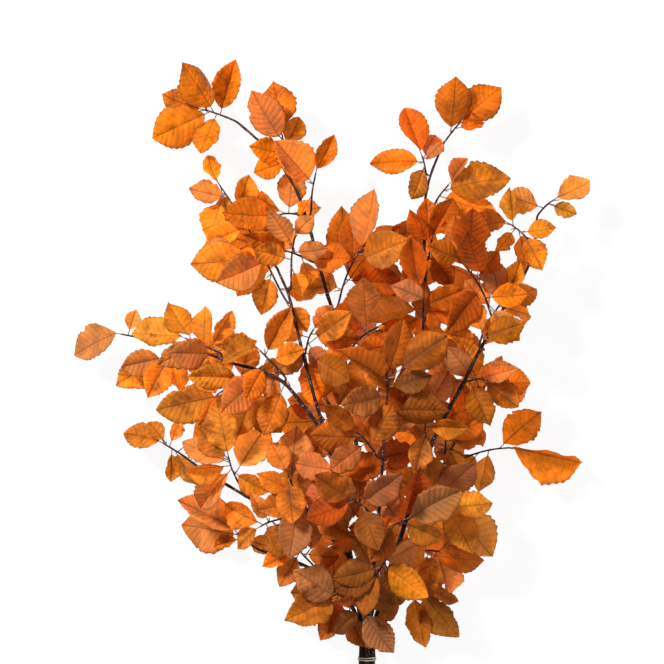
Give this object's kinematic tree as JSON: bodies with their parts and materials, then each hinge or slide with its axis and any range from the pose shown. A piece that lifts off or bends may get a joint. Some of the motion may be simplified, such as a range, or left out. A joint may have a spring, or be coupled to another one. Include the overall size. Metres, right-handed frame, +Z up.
{
  "type": "bunch of beech branches",
  "caption": "Tied bunch of cut, preserved beech branches with orange autumn leaves, lying on its side.",
  "frame": {"origin": "on the surface that the bunch lies on, under the middle of its footprint", "axes": "+Y from the cut stem ends towards the leafy tips, +X to the right seen from above, +Z up from the surface"},
  "size_m": [0.6284, 0.7994, 0.1799],
  "materials": {
    "leaf": "satin",
    "bark": "satin",
    "tie": "matte"
  },
  "bodies": {
    "root": {"centre_shoot_1": "leaf", "centre_shoot_2": "leaf", "centre_shoot_3": "leaf", "centre_shoot_4": "leaf", "centre_shoot_5": "leaf", "centre_shoot_6": "leaf", "centre_stem": "bark", "front_left_shoot_1": "leaf", "front_left_shoot_2": "leaf", "front_left_shoot_3": "leaf", "front_left_shoot_4": "leaf", "front_left_shoot_5": "leaf", "front_left_stem": "bark", "left_shoot_1": "leaf", "left_shoot_2": "leaf", "left_shoot_3": "leaf", "left_shoot_4": "leaf", "left_shoot_5": "leaf", "low_left_shoot_1": "leaf", "low_left_shoot_2": "leaf", "low_left_shoot_3": "leaf", "low_left_shoot_4": "leaf", "low_left_stem": "bark", "low_right_shoot_1": "leaf", "low_right_shoot_2": "leaf", "low_right_shoot_3": "leaf", "low_right_shoot_4": "leaf", "low_right_shoot_5": "leaf", "low_right_shoot_6": "leaf", "low_right_stem": "bark", "lower_tie": "tie", "mid_left_shoot_1": "leaf", "mid_left_shoot_2": "leaf", "mid_left_shoot_3": "leaf", "mid_left_shoot_4": "leaf", "right_shoot_1": "leaf", "right_shoot_2": "leaf", "right_shoot_3": "leaf", "right_shoot_4": "leaf", "right_shoot_5": "leaf", "right_shoot_6": "leaf", "right_shoot_7": "leaf", "right_stem": "bark", "tall_left_shoot_1": "leaf", "tall_left_shoot_2": "leaf", "tall_left_shoot_3": "leaf", "tall_left_shoot_4": "leaf", "tall_left_shoot_5": "leaf", "tall_left_shoot_6": "leaf", "tall_left_shoot_7": "leaf", "tall_left_shoot_8": "leaf", "tall_left_stem": "bark", "tall_right_shoot_1": "leaf", "tall_right_shoot_2": "leaf", "tall_right_shoot_3": "leaf", "tall_right_shoot_4": "leaf", "tall_right_shoot_5": "leaf", "tall_right_shoot_6": "leaf", "tall_right_stem": "bark", "upper_tie": "tie"}
  },
  "joints": []
}
